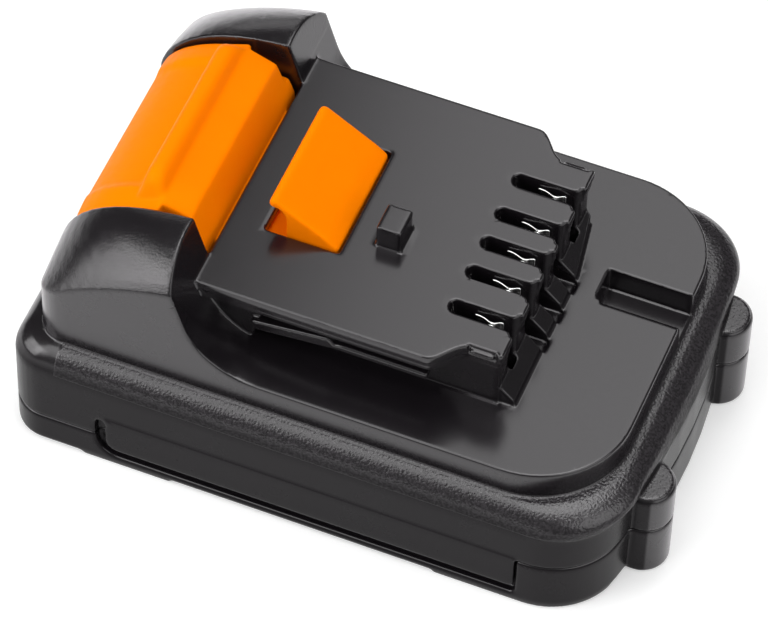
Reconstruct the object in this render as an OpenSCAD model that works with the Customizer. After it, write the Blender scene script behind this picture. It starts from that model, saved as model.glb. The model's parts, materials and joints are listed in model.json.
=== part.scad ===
// Slide-on power tool battery pack: three cells in a two-part housing, with a
// rail tower, five slotted contacts and a sprung release latch.
// Millimetres. +X points to the contact end, +Z is up, and the origin lies
// under the middle of the overall box, on the surface that the pack stands on.

/* [Cells] */
// Diameter of one cell in its sleeve
cell_d = 18.35; // [17.9:0.05:18.6]
// Length of one cell over its positive cap
cell_l = 65; // [63:0.5:67]
// Gap between neighbouring cells
cell_gap = 0.55; // [0.4:0.05:1]
// Height of the positive cap above the can
cap_h = 0.8; // [0.5:0.1:1.2]
// Thickness of the welded strips
strip_t = 0.25; // [0.15:0.05:0.4]

/* [Housing] */
// Thickness of the moulded walls
wall = 2.2; // [1.9:0.1:2.6]
// Thickness of the floor
floor_t = 2.4; // [2:0.1:3]
// Height of the moulded feet
foot_h = 0.4; // [0.3:0.1:1]
// Length of the rear feet
foot_l = 14; // [8:1:18]
// Width of the feet
foot_w = 2.2; // [1.6:0.1:3]
// Room between the outer cells and the side walls
side_room = 1.725; // [1.5:0.025:3]
// Room between the cells and the rear wall
rear_room = 6.3; // [6:0.1:9]
// Room between the cells and the middle of the front wall
front_room = 18.6; // [17:0.1:22]
// Room between the cells and the deck
cell_head = 1.65; // [1.5:0.05:3]
// Radius of the rear corners in plan
rear_corner_r = 5.5; // [4:0.5:8]
// Radius of the front corners in plan
front_corner_r = 11.5; // [9:0.5:14]
// Radius of the bow of the front wall
front_bow_r = 100; // [70:5:300]
// Radius of the bottom edge
bottom_edge_r = 0.8; // [0.5:0.1:1]

/* [Shoulder and deck] */
// Height of the smooth wall between the shoulder and the deck
plateau_h = 4.7; // [3:0.1:6]
// Height of the rounded shoulder
shoulder_h = 4.1; // [3:0.1:5.5]
// Width of the shoulder at the sides and the rear
shoulder_run = 3.35; // [2.6:0.05:4.5]
// Width of the shoulder at the middle of the front
front_run = 4.9; // [3.5:0.1:6.5]
// Radius of the front corners of the deck
deck_corner_r = 14.3; // [11:0.1:17]
// Length of the slot in the deck
deck_slot_l = 12.9; // [9:0.1:13.5]
// Width of the slot in the deck
deck_slot_w = 5.6; // [4.6:0.1:7]
// Depth of the slot in the deck
deck_slot_h = 4.3; // [3.4:0.1:4.6]
// Distance of the slot from the centre line
deck_slot_y = 8.1; // [7:0.1:10]

/* [Parting line] */
// Height of the parting line at the rear
seam_rear_z = 6.2; // [5.4:0.1:8]
// Height of the parting line at the front
seam_front_z = 9.8; // [8.6:0.1:12]
// Gap along the parting line
seam_gap = 0.15; // [0.1:0.05:0.3]
// Distance of the side panels from the rear wall
panel_back = 15.8; // [13:0.1:18]
// Length of the side panels
panel_l = 63.2; // [56:0.1:66]
// Height of the lower edge of the side panels
panel_z = 3.6; // [2.9:0.1:4.2]
// Height of the upper edge of the side panels' raised face
panel_top = 10.3; // [10:0.1:12]
// How far the side panels stand out of the wall
panel_proud = 0.15; // [0.05:0.05:0.3]
// Thickness of the side panels
panel_t = 1.2; // [1:0.05:1.4]
// Gap behind the side panels
panel_gap = 1.55; // [1:0.05:1.8]
// Gap under the side panels
panel_slot = 1.6; // [1.2:0.05:2.2]
// Radius of the lower rear corner of the side panels
panel_r = 1.9; // [1.2:0.1:2.6]

/* [Rail tower] */
// Length of the hump behind the rail plate
hump_l = 22.55; // [21.5:0.05:25]
// Length of the rail plate
rail_l = 45; // [43:0.5:46]
// Width over the rails
rail_w = 45.2; // [43:0.2:47]
// Width of the plate's narrow nose
nose_w = 36.8; // [35.5:0.2:38]
// Length of the plate's narrow nose
nose_l = 5; // [4:0.1:6]
// Length of the step from the rails to the nose
step_l = 5; // [4:0.1:6]
// Height of the tower above the deck
tower_h = 11.3; // [10.5:0.1:12.5]
// Thickness of the rail plate
plate_t = 2; // [1.6:0.1:2.4]
// Height of the edge of the rails
rail_edge = 1.6; // [1.2:0.1:1.9]
// Height of the lip under the edge of the rails
rail_lip = 1.6; // [1.2:0.1:1.8]
// Set-back of the lip from the rail's edge
lip_in = 0.25; // [0.1:0.05:0.5]
// Set-back of the neck from the nose's edge
neck_in = 0.6; // [0.5:0.1:0.9]
// Length of the closed rear end of the rail grooves
groove_end = 9.3; // [7:0.1:11]
// Height of the under-rail
under_rail_h = 1.3; // [1:0.1:1.6]
// Set-back of the under-rail from the plate's edge
under_rail_in = 1; // [0.8:0.1:2]
// Length of the guide pads beside the nose
guide_l = 3.5; // [3:0.1:4.2]
// How far the guide pads stand out of the nose
guide_proud = 0.35; // [0.2:0.05:0.5]
// Height of the guide pads
guide_h = 0.8; // [0.6:0.05:1]
// Width and depth of the groove round each guide pad
guide_groove = 0.45; // [0.3:0.05:0.6]
// Reach of the foot in front of the tower
tower_foot = 2.4; // [1.2:0.1:3]
// Height of the foot in front of the tower
tower_foot_h = 3.2; // [2:0.1:5]

/* [Contacts] */
// Width of a contact slot
slot_w = 2.3; // [2:0.1:2.6]
// Radius of the corners at the mouth of a contact slot
mouth_r = 0.9; // [0.4:0.1:1.2]
// Distance from the tower's front to the rounded end of the slots
slot_l = 9.2; // [8:0.1:9.6]
// Distance of the inner slots from the middle slot
inner_pitch = 5.7; // [5.2:0.1:6]
// Distance of the outer slots from the middle slot
outer_pitch = 12.4; // [11.6:0.1:12.6]
// Thickness of the contact leaves
leaf_t = 0.35; // [0.25:0.05:0.4]
// Depth of the contact leaves below the top of the tower
leaf_drop = 1.35; // [0.8:0.05:3]
// Thickness of the circuit board
board_t = 1.6; // [1:0.1:1.8]

/* [Keying block] */
// Length of the keying block
key_l = 3.8; // [2.5:0.1:5]
// Width of the keying block
key_w = 4.85; // [3.5:0.05:6]
// Height of the keying block
key_h = 4; // [2.5:0.1:5]
// Distance of the keying block from the rear of the rail plate
key_back = 21.1; // [19.5:0.1:24]
// Distance of the keying block from the centre line
key_y = 4.2; // [3.2:0.1:6]

/* [Hump] */
// Height of the hump above the deck
hump_h = 18.1; // [16.8:0.1:19]
// Height of the rear wall of the hump above the deck
hump_wall_h = 1.8; // [1.4:0.1:2.6]
// Thickness of the rear wall of the hump
hump_wall_t = 1.25; // [1:0.05:1.4]
// Exponent of the curve of the hump's back, 2 for an ellipse
hump_power = 2.3; // [2.1:0.05:2.6]
// Width of the bay between the cheeks
bay_w = 34.4; // [33:0.1:36]
// Exponent of the same curve at the outer edge of the cheeks
crown_power = 1.42; // [1.3:0.02:1.8]
// Radius of the crown over each cheek
crown_r = 11.5; // [10:0.5:16]
// Rise of the crown above the edge of the bay
crown_rise = 0.6; // [0.2:0.1:0.8]
// Radius of the hollow at the foot of the cheeks
cheek_foot_r = 11; // [8:0.5:11.5]
// Lean of the front of the cheeks, in degrees
cheek_lean = 17; // [12:1:20]
// Radius of the rear corners of the hump in plan
hump_corner_r = 4.5; // [3:0.5:6]

/* [Latch] */
// Clearance round the latch
latch_gap = 0.3; // [0.2:0.05:0.5]
// Width of the latch tooth
tooth_w = 19.4; // [16:0.2:20]
// Height of the tooth above the rail plate
tooth_h = 6.3; // [5:0.1:6.4]
// Distance of the hook's tip from the rear of the rail plate
tooth_back = 5.9; // [5:0.1:6.5]
// Length of the tooth from the hook's tip to its front
tooth_l = 10.7; // [10:0.1:11.5]
// Overhang of the hook
hook_reach = 2.7; // [1.5:0.1:3.2]
// Height of the tooth's nose
nose_h = 1.4; // [1:0.1:2.4]
// Thickness of the arm under the rail plate
arm_t = 2.9; // [2.2:0.1:3]
// Width of the arm
arm_w = 26; // [23:0.5:27]
// Height of the grip ridge above the deck
ridge_h = 19.9; // [19:0.1:20.5]
// Distance of the grip ridge from the rear of the rail plate
ridge_back = 9.8; // [9:0.1:10.6]
// Radius of the grip ridge
ridge_r = 1.7; // [1.3:0.1:2]
// Length of the grip ridge
ridge_w = 29.6; // [26:0.2:30]
// Length over which each end of the grip ridge is rounded
ridge_end = 3; // [1.5:0.1:4]
// Depth of the dish behind the grip ridge
dish_h = 0.6; // [0.3:0.1:0.9]
// Fall of the button's top towards its ends
end_fall = 0.9; // [0.3:0.1:1.2]
// Thickness of the button's skin
button_t = 2; // [1.6:0.1:2.2]
// Wire diameter of the latch springs
wire_d = 0.8; // [0.6:0.05:0.9]
// Mean diameter of the latch springs
coil_d = 6; // [5.4:0.1:6.4]
// Turns of each latch spring
coil_turns = 6.5; // [5:0.5:7.5]

/* [Screws] */
// Diameter of the front screw bosses
boss_d = 8.2; // [7.6:0.1:9]
// How far the bosses stand out of the middle of the front wall
boss_proud = 2.7; // [2.3:0.1:3.2]
// Height of the top of the bosses
boss_h = 16.9; // [15.6:0.1:17.6]
// Bevel round the top of the bosses
boss_edge = 0.6; // [0.3:0.1:1.2]
// Distance of the bosses from the centre line
boss_y = 16.2; // [14.5:0.1:17]
// Shank diameter of the case screws
screw_d = 2.9; // [2.4:0.1:3]
// Head diameter of the case screws
screw_head_d = 5.4; // [4.8:0.1:5.6]
// Length of the case screws under the head
screw_l = 10.5; // [9:0.5:11.5]

/* [Hidden] */
$fn = 48;

// Reach of a cutter past what it cuts
past = 60;

// Heights
floor_z = foot_h + floor_t;
cell_rest = 0.2;
cell_z = floor_z + cell_rest + cell_d / 2;
deck_z = cell_z + cell_d / 2 + cell_head + wall;
deck_low = deck_z - wall;
shoulder_z = deck_z - plateau_h;
side_z = shoulder_z - shoulder_h;
tower_z = deck_z + tower_h;
plate_low = tower_z - plate_t;
hump_wall_z = deck_z + hump_wall_h;

// Lengths and widths of the housing
cell_pitch = cell_d + cell_gap;
half_w = 1.5 * cell_d + cell_gap + side_room + wall;
body_l = 2 * wall + rear_room + cell_l + front_room;
rear_x = -(body_l + boss_proud) / 2;
front_x = rear_x + body_l;
cell_x0 = rear_x + wall + rear_room;
cell_x1 = cell_x0 + cell_l;
deck_front = front_x - front_run;
hump_rear = rear_x + shoulder_run;

// Rail tower
plate_rear = hump_rear + hump_l;
plate_root = plate_rear - 1;
plate_front = plate_rear + rail_l;
rail_hw = rail_w / 2;
nose_hw = nose_w / 2;
neck_hw = nose_hw - neck_in;
neck_front = plate_front - neck_in;
guide_x = plate_front - 0.9 - guide_groove - guide_l;
guide_z = tower_z - guide_groove - guide_h;
neck_room = neck_hw - wall;
slot_x = plate_front - slot_l;
slot_ys = [-outer_pitch, -inner_pitch, 0, inner_pitch, outer_pitch];
comb_x = slot_x - slot_w / 2 - 0.6;
comb_low = deck_z + 1.8;
tower_foot_x = neck_front + tower_foot;
foot_top = deck_z + tower_foot_h;
groove_x = plate_rear + groove_end;
lip_low = tower_z - rail_edge - rail_lip;

// Circuit board under the contacts
board_z = deck_low + 0.4;
board_top = board_z + board_t;
board_x0 = plate_rear + tooth_back + tooth_l + 3.9;
board_x1 = neck_front - wall;
board_hw = neck_room - 0.3;
carrier_x0 = comb_x - 0.2;
leaf_top = tower_z - leaf_drop;

// Hump and latch
holder_top = cell_z + cell_d / 2 + 1;
bay_hw = bay_w / 2;
hump_top = deck_z + hump_h;
hump_mid = plate_rear + 2.6;
hump_long = hump_mid - hump_rear + 0.3;
crown_in = 2.8;
cheek_foot_x = plate_rear + cheek_foot_r + 0.65;
cheek_top_x = cheek_foot_x - cheek_foot_r * cos(cheek_lean)
    - (hump_h + 1 - cheek_foot_r * (1 - sin(cheek_lean))) * tan(cheek_lean);
latch_hw = bay_hw - latch_gap;
latch_travel = tooth_h + 0.2;
button_rear = hump_rear + hump_wall_t + 1.2 * latch_gap;
button_low = holder_top + latch_travel + 1.15;
skirt_low = hump_wall_z - 1;
bay_low = skirt_low - latch_travel - 0.7;
face_z = deck_z + 16.1;
face_x = plate_rear - 3.2;
face_foot_x = plate_rear - 0.8;
facet_z = face_z + 1.6;
ridge_x = plate_rear - ridge_back;
ridge_z = deck_z + ridge_h;
ridge_foot = ridge_x - 2.2;
facet_x = ridge_x + 2.1;
dish_hw = latch_hw - 5;
room_z = deck_z + 10.6;
arm_top = plate_low - 0.2;
arm_low = arm_top - arm_t;
tip_x = plate_rear + tooth_back;
tooth_front = tip_x + tooth_l;
window_hw = tooth_w / 2 + latch_gap;
spring_x = ridge_x - 1.6;
spring_y = 9;
spring_low = holder_top;
spring_high = room_z + 0.6;
pocket_r = (coil_d + wire_d) / 2 + 0.5;

// Parting line, side panels and screws
panel_x0 = rear_x + panel_back;
panel_x1 = panel_x0 + panel_l;
panel_front_r = 0.8;
slit_z = panel_top - 0.7 - panel_gap / 2;
rear_foot_x = panel_x0 - panel_gap - 2.35;
front_foot_x = panel_x1 - 12.4;
front_foot_y = half_w - 8;
foot_in = 0.15;
boss_x = front_x + boss_proud - boss_d / 2;
post_x = rear_x + wall + 2.7;
post_y = half_w - wall - 3.6;
post_d = 6.2;
head_h = 2;
head_z = 1.2;

function mix(a, b, t) = a + (b - a) * t;
function arc(cx, cy, r, a0, a1, n) =
    [for (i = [0:n]) let (a = a0 + (a1 - a0) * i / n) [cx + r * cos(a), cy + r * sin(a)]];

// Plan outline with rear corners of radius rr and front corners of radius rf
// that run without a kink into a front wall bowed to radius rb
function plan(hw, xr, xf, rr, rf, rb) =
    let (bow = asin((hw - rf) / (rb - rf)), cx = xf - rb + (rb - rf) * cos(bow))
    concat(arc(xr + rr, -hw + rr, rr, 180, 270, 8), arc(cx, -hw + rf, rf, 270, 360 - bow, 16),
        arc(xf - rb, 0, rb, -0.75 * bow, 0.75 * bow, 6), arc(cx, hw - rf, rf, bow, 90, 16),
        arc(xr + rr, hw - rr, rr, 90, 180, 8));

// Outline of the housing, from the side walls (t = 0) to the deck (t = 1)
function body_plan(t, inset) = plan(mix(half_w, half_w - shoulder_run, t) - inset,
    mix(rear_x, hump_rear, t) + inset, mix(front_x, deck_front, t) - inset,
    mix(rear_corner_r, hump_corner_r, t) - inset, mix(front_corner_r, deck_corner_r, t) - inset,
    mix(front_bow_r, 20 * front_bow_r, t) - inset);

// The same outline as a ring of points at a height
function ring(t, inset, z) = [for (p = body_plan(t, inset)) [p[0], p[1], z]];

// Closed solid through a stack of rings, all with the same number of points
module loft(rings) {
    n = len(rings[0]);
    top = (len(rings) - 1) * n;
    walls = [for (k = [0:len(rings) - 2], j = [0:n - 1]) let (a = k * n + j, b = k * n + (j + 1) % n)
        each [[a, a + n, b + n], [a, b + n, b]]];
    ends = [[for (j = [0:n - 1]) j], [for (j = [n - 1:-1:0]) top + j]];
    polyhedron([for (r = rings) each r], concat(walls, ends));
}

// Extrudes a profile drawn in X and Z along Y
module across(y0, y1)
    translate([0, y1, 0]) rotate([90, 0, 0]) linear_extrude(y1 - y0) children();

module both_sides() {
    children();
    mirror([0, 1, 0]) children();
}

// Housing up to the top of the shoulder
module pillow(inset, z0, z1, z2) loft(concat([ring(0, inset, z0)],
    [for (a = [0:12.5:87.5]) ring(1 - cos(a), inset, mix(z1, z2, sin(a)))]));

// Room inside the upper case
module upper_room() {
    pillow(wall, -1, side_z + 0.5, shoulder_z - 1.2);
    translate([0, 0, side_z]) linear_extrude(deck_low - side_z) polygon(body_plan(1, wall));
}

// Everything above the parting line
module above_seam(down = 0) across(-past, past) translate([0, -down]) polygon([
    [-past, seam_rear_z], [panel_x0 + panel_r, seam_rear_z], [panel_x0 + panel_r, seam_front_z],
    [past, seam_front_z], [past, past], [-past, past]]);

// Side view of a side panel, which hangs from the upper case into the lower case,
// grown to the rear, below and to the front
module panel_outline(rear, low, front, top) polygon(concat([[panel_x0 - rear, top]],
    arc(panel_x0 - rear + panel_r + low, panel_z - low + panel_r + low, panel_r + low, 180, 270, 8),
    arc(panel_x1 + front - panel_front_r, panel_z - low + panel_front_r, panel_front_r, 270, 360, 4),
    [[panel_x1 + front, top]]));

// Height of a curve of the hump over a place along X, from the rear wall up to a height of its own
function curve_z(x, height, power) = let (u = min(1, max(0, (hump_mid - x) / hump_long)))
    hump_wall_z + height * pow(1 - pow(u, power), 1 / power);
// Height of the hump's back between the cheeks
function back_z(x) = curve_z(x, hump_top - hump_wall_z, hump_power);
// Height of a cheek, which is crowned and falls off sooner towards its outer edge
function crown_z(x, y, reach) = let (d = abs(y) - bay_hw - crown_in,
        drop = crown_r - sqrt(crown_r * crown_r - d * d), t = (abs(y) - bay_hw) / (reach - bay_hw))
    curve_z(x, hump_top - hump_wall_z + crown_rise - drop, mix(hump_power, crown_power, t));

// Cross-section of the hump at x, crowned over both cheeks, at least as wide as the deck
function hump_ring(x, reach) = let (n = 8,
        left = [for (i = [n:-1:0]) let (y = mix(bay_hw, reach, i / n)) [x, y, crown_z(x, y, reach)]],
        right = [for (i = [0:n]) let (y = -mix(bay_hw, reach, i / n)) [x, y, crown_z(x, y, reach)]])
    concat([[x, reach, side_z]], left, [[x, 0, back_z(x)]], right, [[x, -reach, side_z]]);

// The hump's top, carried on at its full height to the front
module crowned_top() {
    reach = half_w - shoulder_run + 0.4;
    xs = [for (a = [0:6:90]) hump_mid - hump_long * cos(a)];
    loft([for (x = concat(xs, [past])) hump_ring(x, reach)]);
}

// Deck and hump: the deck's outline under the side profile and the crowned top
module deck_and_hump() intersection() {
    translate([0, 0, side_z + 1]) linear_extrude(past) polygon(body_plan(1, 0));
    across(-past, past) polygon(concat([[-past, side_z], [past, side_z], [past, deck_z]],
        arc(cheek_foot_x, deck_z + cheek_foot_r, cheek_foot_r, 270, 180 + cheek_lean, 10),
        [[cheek_top_x, hump_top + 1], [-past, hump_top + 1]]));
    crowned_top();
}

// Edge of the rail plate: the rails, a smooth step and the narrow nose
function rail_edge_points(inset) = [for (i = [0:8]) let (t = i / 8)
    [plate_front - nose_l - step_l * (1 - t), mix(rail_hw, nose_hw, (1 - cos(180 * t)) / 2) - inset]];

module rail_outline(inset) polygon(concat([[plate_root, -rail_hw + inset]],
    [for (p = rail_edge_points(inset)) [p[0], -p[1]]],
    [[plate_front - inset, -nose_hw + inset], [plate_front - inset, nose_hw - inset]],
    [for (i = [8:-1:0]) rail_edge_points(inset)[i]], [[plate_root, rail_hw - inset]]));

module tower() {
    translate([0, 0, tower_z - rail_edge]) linear_extrude(rail_edge) rail_outline(0);
    translate([0, 0, lip_low]) linear_extrude(rail_lip + 0.1) rail_outline(lip_in);
    translate([plate_root, -neck_hw, deck_low])
        cube([neck_front - plate_root, 2 * neck_hw, tower_z - deck_low - 1]);
    // foot in front of the slots, which runs out towards the left
    intersection() {
        across(-neck_hw + 0.3, neck_hw - 0.3) polygon([[neck_front - 1, deck_z - 1], [tower_foot_x, deck_z - 1],
            [tower_foot_x, deck_z + 0.8], [neck_front, foot_top], [neck_front - 1, foot_top]]);
        translate([0, 0, deck_low]) linear_extrude(tower_h) polygon([[neck_front - 2, -past],
            [tower_foot_x, -past], [tower_foot_x, inner_pitch + slot_w], [neck_front + 0.7, neck_hw],
            [neck_front - 2, neck_hw]]);
    }
    // closed rear ends of the rail grooves
    both_sides() across(neck_hw - 1, rail_hw - 2) polygon([[plate_root, deck_z - 1],
        [groove_x - 2, deck_z - 1], [groove_x, deck_z + 4], [groove_x, plate_low], [plate_root, plate_low]]);
    both_sides() across(neck_hw - 1, rail_hw - under_rail_in) under_rail();
    // guide pads beside the nose
    both_sides() translate([guide_x, nose_hw - 1, guide_z]) cube([guide_l, 1 + guide_proud, guide_h]);
    translate([plate_rear + key_back, -key_y - key_w / 2, tower_z - 0.5]) cube([key_l, key_w, key_h + 0.5]);
}

// Side view of the rail under each lip: it climbs from the rear to a small notch in its
// upper edge, and runs level from there to the step of the plate
module under_rail() {
    notch_x = plate_rear + 20.9;
    front = plate_front - nose_l - step_l;
    top = lip_low - 2;
    climb = 1.5;
    notch = 0.8;
    polygon([[groove_x - 1, top - 0.9], [notch_x - notch, top + 0.75], [notch_x, top - 0.3],
        [notch_x + notch, top], [front, top], [front, top - under_rail_h], [notch_x, top - under_rail_h],
        [groove_x - 1, top - under_rail_h - climb]]);
}

// One contact slot: a rounded rear end, and rounded corners where it opens to the front;
// the outer slots end above the foot
module contact_slot(y) {
    front_low = abs(y) < outer_pitch ? deck_z - 0.5 : foot_top + 0.1;
    translate([0, y, deck_z - 0.5]) linear_extrude(tower_h + 2) {
        translate([slot_x, 0]) circle(d = slot_w);
        translate([slot_x, -slot_w / 2]) square([neck_front + 0.3 - slot_x, slot_w]);
    }
    translate([slot_x, y - slot_w / 2, front_low]) cube([tower_foot_x - slot_x + 0.4, slot_w, tower_h + 2]);
    translate([0, y, foot_top + 0.1]) linear_extrude(tower_z - foot_top) slot_mouth(neck_front);
    translate([0, y, tower_z - rail_edge]) linear_extrude(rail_edge + 1) slot_mouth(plate_front);
}
module slot_mouth(front) for (s = [0, 1]) mirror([0, s]) polygon(concat([[front - mouth_r, 0]],
    arc(front - mouth_r, slot_w / 2 + mouth_r, mouth_r, 270, 360, 6),
    [[front + mouth_r, slot_w / 2 + mouth_r], [front + mouth_r, 0]]));

// Rooms inside the tower and the hump
module tower_room() {
    translate([plate_rear - 0.1, -neck_room, bay_low])
        cube([comb_x - plate_rear + 0.1, 2 * neck_room, plate_low - bay_low]);
    translate([comb_x - 1, -neck_room, bay_low])
        cube([board_x1 + 0.4 - comb_x + 1, 2 * neck_room, comb_low - bay_low]);
    // bay of the button, open at the top and over the rear wall
    translate([hump_rear + hump_wall_t, -bay_hw, bay_low])
        cube([plate_rear - hump_rear - hump_wall_t, bay_w, past]);
    translate([hump_rear - past, -bay_hw, hump_wall_z]) cube([past + 2, bay_w, past]);
    // hollow of each cheek
    both_sides() across(bay_hw + 1.8, half_w - shoulder_run - 2) polygon([[hump_rear + 2.4, side_z + 2],
        [hump_rear + 2.4, hump_wall_z], [hump_rear + 7, deck_z + 8], [plate_rear - 5, deck_z + 11],
        [plate_rear - 1.5, deck_z + 1], [plate_rear - 1.5, side_z + 2]]);
}

module upper_case() color("#2b2b2d") difference() {
    union() {
        difference() {
            union() {
                intersection() {
                    pillow(0, panel_z - 1, side_z, shoulder_z);
                    union() {
                        above_seam();
                        both_sides() across(half_w - panel_t, past) panel_outline(0, 0, 0, side_z);
                    }
                }
                both_sides() across(half_w - panel_t, half_w + panel_proud) panel_outline(0, 0, 0, panel_top);
                deck_and_hump();
                tower();
            }
            upper_room();
            tower_room();
        }
        // rear screw posts and front screw bosses
        both_sides() translate([post_x, post_y, seam_rear_z + seam_gap])
            cylinder(h = side_z + 1.5 - seam_rear_z, d = post_d);
        both_sides() translate([boss_x, boss_y, 0]) {
            translate([0, 0, seam_front_z]) cylinder(h = boss_h - boss_edge - seam_front_z, d = boss_d);
            translate([0, 0, boss_h - boss_edge])
                cylinder(h = boss_edge, d1 = boss_d, d2 = boss_d - 2 * boss_edge);
        }
        // walls round the deck slot
        translate([deck_front - deck_slot_l - 1.3, deck_slot_y - deck_slot_w / 2 - 1.3,
            deck_z - deck_slot_h - 1.3]) cube([deck_slot_l + 0.6, deck_slot_w + 2.6, deck_slot_h - 0.4]);
        // ledges over the circuit board
        both_sides() translate([board_x0 + 2, neck_room - 1.4, board_top + 0.1]) cube([9, 1.6, 1.5]);
    }
    // slot in the deck, with a bevel along one edge
    translate([deck_front - deck_slot_l, deck_slot_y - deck_slot_w / 2, deck_z - deck_slot_h])
        cube([past, deck_slot_w, past]);
    translate([deck_front - deck_slot_l + 0.8, deck_slot_y - deck_slot_w / 2, deck_z - 0.9]) rotate([45, 0, 0])
        cube([past, 1.5, 1.5]);
    // contact slots
    for (y = slot_ys) contact_slot(y);
    // groove round each guide pad
    both_sides() translate([guide_x, nose_hw - guide_groove, guide_z]) difference() {
        translate([-guide_groove, 0, -guide_groove])
            cube([guide_l + 2 * guide_groove, guide_groove + 1, guide_h + 2 * guide_groove + 0.1]);
        translate([0, -1, 0]) cube([guide_l, guide_groove + 3, guide_h]);
    }
    // window of the latch tooth
    translate([tip_x - latch_gap, -window_hw, plate_low - 1])
        cube([tooth_l + 2 * latch_gap, 2 * window_hw, plate_t + 3]);
    // slit above the rear end of each side panel
    both_sides() {
        translate([panel_x0 - panel_gap, half_w - panel_t, seam_rear_z - 1])
            cube([panel_gap, past, slit_z + 1 - seam_rear_z]);
        translate([panel_x0 - panel_gap / 2, half_w - panel_t, slit_z]) rotate([-90, 0, 0])
            cylinder(h = past, d = panel_gap);
    }
    // screw holes
    both_sides() {
        translate([boss_x, boss_y, 0]) cylinder(h = head_z + head_h + screw_l + 0.6, d = screw_d + 0.1);
        translate([post_x, post_y, 0]) cylinder(h = head_z + head_h + screw_l + 0.6, d = screw_d + 0.1);
    }
}

// Housing below the parting line, with a rounded bottom edge
module tub() loft(concat([for (a = [0:18:90])
    ring(0, bottom_edge_r * (1 - sin(a)), foot_h + bottom_edge_r * (1 - cos(a)))],
    [ring(0, 0, seam_front_z + 2)]));

module lower_case() color("#28282a") difference() {
    union() {
        difference() {
            tub();
            translate([0, 0, floor_z]) linear_extrude(past) polygon(body_plan(0, wall));
        }
        // rear screw posts and front screw bosses
        both_sides() translate([post_x, post_y, foot_h + 0.2]) cylinder(h = seam_rear_z - foot_h, d = post_d);
        both_sides() translate([boss_x, boss_y, 0]) cylinder(h = seam_front_z, d = boss_d);
        // ribs that hold the cells lengthwise
        for (y = [-cell_pitch / 2, cell_pitch / 2])
            translate([rear_x + wall - 1, y - 0.8, floor_z - 1]) cube([rear_room + 0.2 - strip_t, 1.6, 5]);
        translate([cell_x1 + strip_t + 0.75, -half_w + wall - 0.5, floor_z - 1])
            cube([1.6, 2 * (half_w - wall) + 1, 7]);
        // feet along both long edges, the front ones round the corners
        both_sides() intersection() {
            linear_extrude(foot_h + 0.5) difference() {
                polygon(body_plan(0, foot_in));
                polygon(body_plan(0, foot_in + foot_w));
            }
            union() {
                translate([rear_foot_x, 0, 0]) cube([foot_l, past, past]);
                translate([front_foot_x, front_foot_y, 0]) cube([past, past, past]);
            }
        }
    }
    above_seam(seam_gap);
    both_sides() across(half_w - panel_t - seam_gap, past) panel_outline(panel_gap, panel_slot, seam_gap, past);
    both_sides() for (at = [[boss_x, boss_y], [post_x, post_y]]) translate([at[0], at[1], -1]) {
        cylinder(h = past, d = screw_d + 0.4);
        cylinder(h = 1 + head_z + head_h, d = screw_head_d + 0.6);
    }
}

// One self-tapping screw with a socket in its head, standing on its head
module screw() difference() {
    union() {
        cylinder(h = head_h, d = screw_head_d);
        translate([0, 0, head_h - 0.1]) cylinder(h = screw_l + 0.1 - 1, d = screw_d);
        translate([0, 0, head_h + screw_l - 1]) cylinder(h = 1, d1 = screw_d, d2 = screw_d - 1.4);
    }
    translate([0, 0, -0.1]) cylinder(h = 1.3, d = 2.6, $fn = 6);
}

module case_screws() color("#6f7276")
    both_sides() for (at = [[boss_x, boss_y], [post_x, post_y]]) translate([at[0], at[1], head_z]) screw();

// The latch: grip button, arm under the rail plate and tooth, in one moulding
function button_back(x) = back_z(x) - 0.1;

// How much of the ridge and of the dish there is at y, and how far the top has fallen there
function ridge_part(y) = let (d = max(0, abs(y) - ridge_w / 2 + ridge_end))
    sqrt(max(0, 1 - pow(d / ridge_end, 2)));
function dish_part(y) = (1 - cos(180 * min(1, max(0, dish_hw + 1 - abs(y))))) / 2;
function top_fall(y) = end_fall * pow(max(0, abs(y) - dish_hw) / (latch_hw - dish_hw), 2);
// Top of the button where the ridge stands, without the ridge
function under_ridge(x) = mix(button_back(ridge_foot), facet_z, (x - ridge_foot) / (facet_x - ridge_foot));

// Cross-section of the button at y
function button_ring(y) = let (fall = top_fall(y), profile = concat(
    [[face_foot_x, button_low], [face_foot_x, deck_z + 9.4],
        [face_x, face_z - fall], [facet_x, facet_z - fall]],
    [for (p = arc(ridge_x, ridge_z - ridge_r, ridge_r, 40, 150, 8))
        [p[0], mix(under_ridge(p[0]), p[1], ridge_part(y)) - fall]],
    [[ridge_foot, button_back(ridge_foot) - fall]],
    [for (i = [1:10]) let (x = mix(ridge_foot - 0.3, button_rear, 1 - cos(9 * i)))
        [x, button_back(x) - dish_h * dish_part(y) - fall]],
    [[button_rear, skirt_low], [button_rear + button_t, skirt_low], [button_rear + button_t, button_low]]))
    [for (p = profile) [p[0], y, p[1]]];

module button_body() {
    n = 10;
    ends = [for (i = [0:n]) mix(latch_hw, ridge_w / 2 - ridge_end - 0.6, i / n)];
    loft([for (i = [-n - 1:n]) button_ring(i < 0 ? ends[i + n + 1] : -ends[n - i])]);
}

module button_room() polygon([[button_rear + button_t, -past], [button_rear + button_t, room_z - 3.4],
    [button_rear + 4.2, room_z], [ridge_foot, room_z + 2.4], [face_x - button_t, room_z + 3],
    [face_x - 0.6, room_z - 2.6], [face_x - 0.6, -past]]);

// Tooth with a hook that overhangs a hollow, and a top that falls off a little more towards its nose
module tooth_profile() {
    tip_r = 0.9;
    hollow_r = 3;
    polygon(concat([[tip_x + hook_reach, arm_low + 1]],
        arc(tip_x + hook_reach - hollow_r, tower_z + 2.4, hollow_r, 0, 50, 4),
        arc(tip_x + tip_r, tower_z + tooth_h - tip_r, tip_r, 230, 70, 6),
        [[tooth_front - 4.9, tower_z + mix(nose_h, tooth_h, 0.4)], [tooth_front - 1.75, tower_z + nose_h],
        [tooth_front, tower_z], [tooth_front, arm_low + 1]]));
}

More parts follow.
